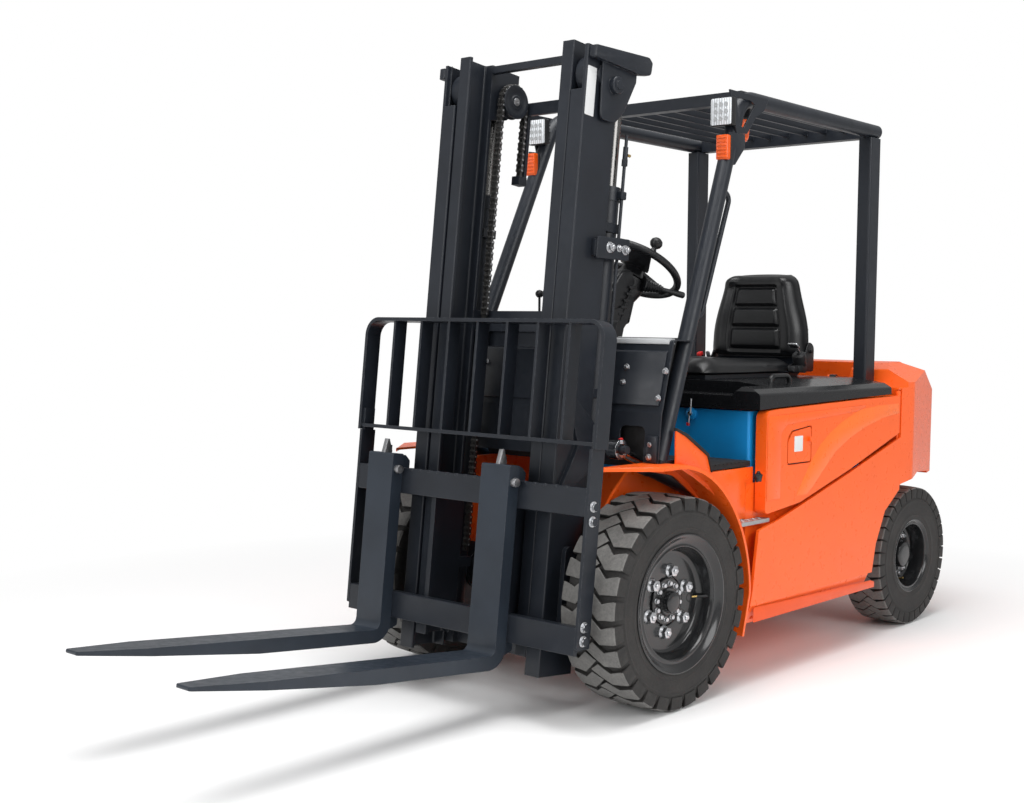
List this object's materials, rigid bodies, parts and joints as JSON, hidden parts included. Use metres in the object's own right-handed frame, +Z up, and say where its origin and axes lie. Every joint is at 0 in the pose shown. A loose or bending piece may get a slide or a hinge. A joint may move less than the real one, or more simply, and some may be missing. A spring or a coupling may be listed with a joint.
{
  "type": "electric forklift truck",
  "caption": "Seated counterbalance electric forklift with a two-stage mast, hooked forks, load backrest, overhead guard, battery under a seat hood, and steered rear wheels.",
  "frame": {"origin": "on the floor under the middle of the truck's outline", "axes": "-Y towards the fork tips, +X the driver's left, +Z up"},
  "size_m": [1.236, 3.6228, 2.1422],
  "materials": {
    "orange_paint": "gloss",
    "flap_paint": "gloss",
    "dark_paint": "satin",
    "galvanised": "satin",
    "rod_chrome": "polished",
    "chain_steel": "oiled",
    "black_plastic": "matte",
    "hood_plastic": "satin",
    "seat_vinyl": "grained",
    "tyre_rubber": "matte",
    "battery_blue": "gloss",
    "lamp_housing": "clear",
    "amber_lens": "clear",
    "red_lens": "clear"
  },
  "bodies": {
    "chassis": {"frame": "orange_paint", "floor_plate": "black_plastic", "steps": "galvanised", "cowl": "dark_paint", "dashboard": "black_plastic", "steering_column": "black_plastic", "controls": "black_plastic", "guard_tubes": "dark_paint", "guard_pillars": "dark_paint", "guard_roof": "dark_paint", "grab_handle": "dark_paint", "headlamps": "lamp_housing", "amber_lamps": "amber_lens", "battery": "battery_blue", "counterweight": "orange_paint", "rear_lamps": "red_lens", "drive_axle": "dark_paint", "steer_axle": "dark_paint", "fender_left": "orange_paint", "fender_right": "orange_paint"},
    "outer_mast": {"outer_uprights": "dark_paint", "outer_beams": "dark_paint", "lift_barrels": "dark_paint", "chain_back": "chain_steel"},
    "inner_mast": {"inner_uprights": "dark_paint", "inner_beams": "dark_paint", "lift_rods": "rod_chrome", "pulleys": "galvanised"},
    "carriage_frame": {"carriage": "dark_paint", "backrest": "dark_paint", "backrest_arms": "dark_paint", "chain_front": "chain_steel"},
    "fork_arm_left": {"fork_left": "dark_paint"},
    "fork_arm_right": {"fork_right": "dark_paint"},
    "tilt_tube_left": {"tilt_barrel_left": "dark_paint"},
    "tilt_tube_right": {"tilt_barrel_right": "dark_paint"},
    "tilt_stem_left": {"tilt_rod_left": "rod_chrome"},
    "tilt_stem_right": {"tilt_rod_right": "rod_chrome"},
    "front_wheel_left": {"front_tyre_left": "tyre_rubber", "front_rim_left": "dark_paint"},
    "front_wheel_right": {"front_tyre_right": "tyre_rubber", "front_rim_right": "dark_paint"},
    "steer_knuckle_left": {"knuckle_left": "dark_paint"},
    "steer_knuckle_right": {"knuckle_right": "dark_paint"},
    "rear_wheel_left": {"rear_tyre_left": "tyre_rubber", "rear_rim_left": "dark_paint"},
    "rear_wheel_right": {"rear_tyre_right": "tyre_rubber", "rear_rim_right": "dark_paint"},
    "hood_and_seat": {"hood": "hood_plastic", "seat_frame": "dark_paint", "seat_cushion": "seat_vinyl", "seat_back": "seat_vinyl"},
    "side_cover_left": {"side_door_left": "orange_paint"},
    "side_cover_right": {"side_door_right": "orange_paint"},
    "charge_flap": {"charge_door": "flap_paint"},
    "hand_wheel": {"steering_wheel": "black_plastic"}
  },
  "joints": [
    {"name": "mast_tilt", "type": "hinge", "parent": "chassis", "child": "outer_mast", "pos_m": [0, -0.29898, 0.35], "axis": [1, 0, 0], "range_deg": [-1.8, 12.2]},
    {"name": "mast_lift", "type": "slide", "parent": "outer_mast", "child": "inner_mast", "axis": [0, 0.108, 0.9942], "range_m": [-0.055, 1.44], "deforming": ["chain_back"]},
    {"name": "carriage_lift", "type": "slide", "parent": "inner_mast", "child": "carriage_frame", "axis": [0, 0.108, 0.9942], "range_m": [-0.055, 1.44], "deforming": ["chain_front"]},
    {"name": "fork_left_slide", "type": "slide", "parent": "carriage_frame", "child": "fork_arm_left", "axis": [1, 0, 0], "range_m": [-0.113, 0.277]},
    {"name": "fork_right_slide", "type": "slide", "parent": "carriage_frame", "child": "fork_arm_right", "axis": [1, 0, 0], "range_m": [-0.0955, 0.295]},
    {"name": "tilt_tube_left_pivot", "type": "hinge", "parent": "chassis", "child": "tilt_tube_left", "pos_m": [0.425, 0.03102, 0.668], "axis": [1, 0, 0], "range_deg": [-1.27, 7.45]},
    {"name": "tilt_stem_left_slide", "type": "slide", "parent": "tilt_tube_left", "child": "tilt_stem_left", "axis": [0, -0.9296, 0.3685], "range_m": [-0.0138, 0.08777]},
    {"name": "front_wheel_left_spin", "type": "hinge", "parent": "chassis", "child": "front_wheel_left", "pos_m": [0.502, -0.29898, 0.35], "axis": [1, 0, 0], "continuous": true},
    {"name": "steer_left", "type": "hinge", "parent": "chassis", "child": "steer_knuckle_left", "pos_m": [0.366, 1.35102, 0.292], "axis": [0, 0, 1], "range_deg": [-58, 58]},
    {"name": "rear_wheel_left_spin", "type": "hinge", "parent": "steer_knuckle_left", "child": "rear_wheel_left", "pos_m": [0.49, 1.35102, 0.292], "axis": [1, 0, 0], "continuous": true},
    {"name": "side_cover_left_hinge", "type": "hinge", "parent": "chassis", "child": "side_cover_left", "pos_m": [0.6, 1.13102, 0.8], "axis": [0, 0, 1], "range_deg": [0, 110]},
    {"name": "tilt_tube_right_pivot", "type": "hinge", "parent": "chassis", "child": "tilt_tube_right", "pos_m": [-0.425, 0.03102, 0.668], "axis": [1, 0, 0], "range_deg": [-1.27, 7.45]},
    {"name": "tilt_stem_right_slide", "type": "slide", "parent": "tilt_tube_right", "child": "tilt_stem_right", "axis": [0, -0.9296, 0.3685], "range_m": [-0.0138, 0.08777]},
    {"name": "front_wheel_right_spin", "type": "hinge", "parent": "chassis", "child": "front_wheel_right", "pos_m": [-0.502, -0.29898, 0.35], "axis": [1, 0, 0], "continuous": true},
    {"name": "steer_right", "type": "hinge", "parent": "chassis", "child": "steer_knuckle_right", "pos_m": [-0.366, 1.35102, 0.292], "axis": [0, 0, 1], "range_deg": [-58, 58]},
    {"name": "rear_wheel_right_spin", "type": "hinge", "parent": "steer_knuckle_right", "child": "rear_wheel_right", "pos_m": [-0.49, 1.35102, 0.292], "axis": [1, 0, 0], "continuous": true},
    {"name": "side_cover_right_hinge", "type": "hinge", "parent": "chassis", "child": "side_cover_right", "pos_m": [-0.6, 1.13102, 0.8], "axis": [0, 0, -1], "range_deg": [0, 110]},
    {"name": "charge_flap_hinge", "type": "hinge", "parent": "side_cover_left", "child": "charge_flap", "pos_m": [0.605, 0.31002, 0.82], "axis": [0, 0, -1], "range_deg": [0, 100]},
    {"name": "hood_lid", "type": "hinge", "parent": "chassis", "child": "hood_and_seat", "pos_m": [0, 1.08602, 1.04], "axis": [-1, 0, 0], "range_deg": [0, 20]},
    {"name": "hand_wheel_spin", "type": "hinge", "parent": "chassis", "child": "hand_wheel", "pos_m": [0, 0.16902, 1.452], "axis": [0, 0.5299, 0.848], "continuous": true}
  ],
  "couplings": [
    {"joint": "carriage_lift", "follows": "mast_lift", "ratio": 1},
    {"joint": "steer_right", "follows": "steer_left", "ratio": 1},
    {"joint": "tilt_tube_left_pivot", "follows": "mast_tilt", "ratio": 0.59406},
    {"joint": "tilt_stem_left_slide", "follows": "mast_tilt", "m_per_rad": 0.40752},
    {"joint": "tilt_tube_right_pivot", "follows": "mast_tilt", "ratio": 0.59406},
    {"joint": "tilt_stem_right_slide", "follows": "mast_tilt", "m_per_rad": 0.40752}
  ]
}
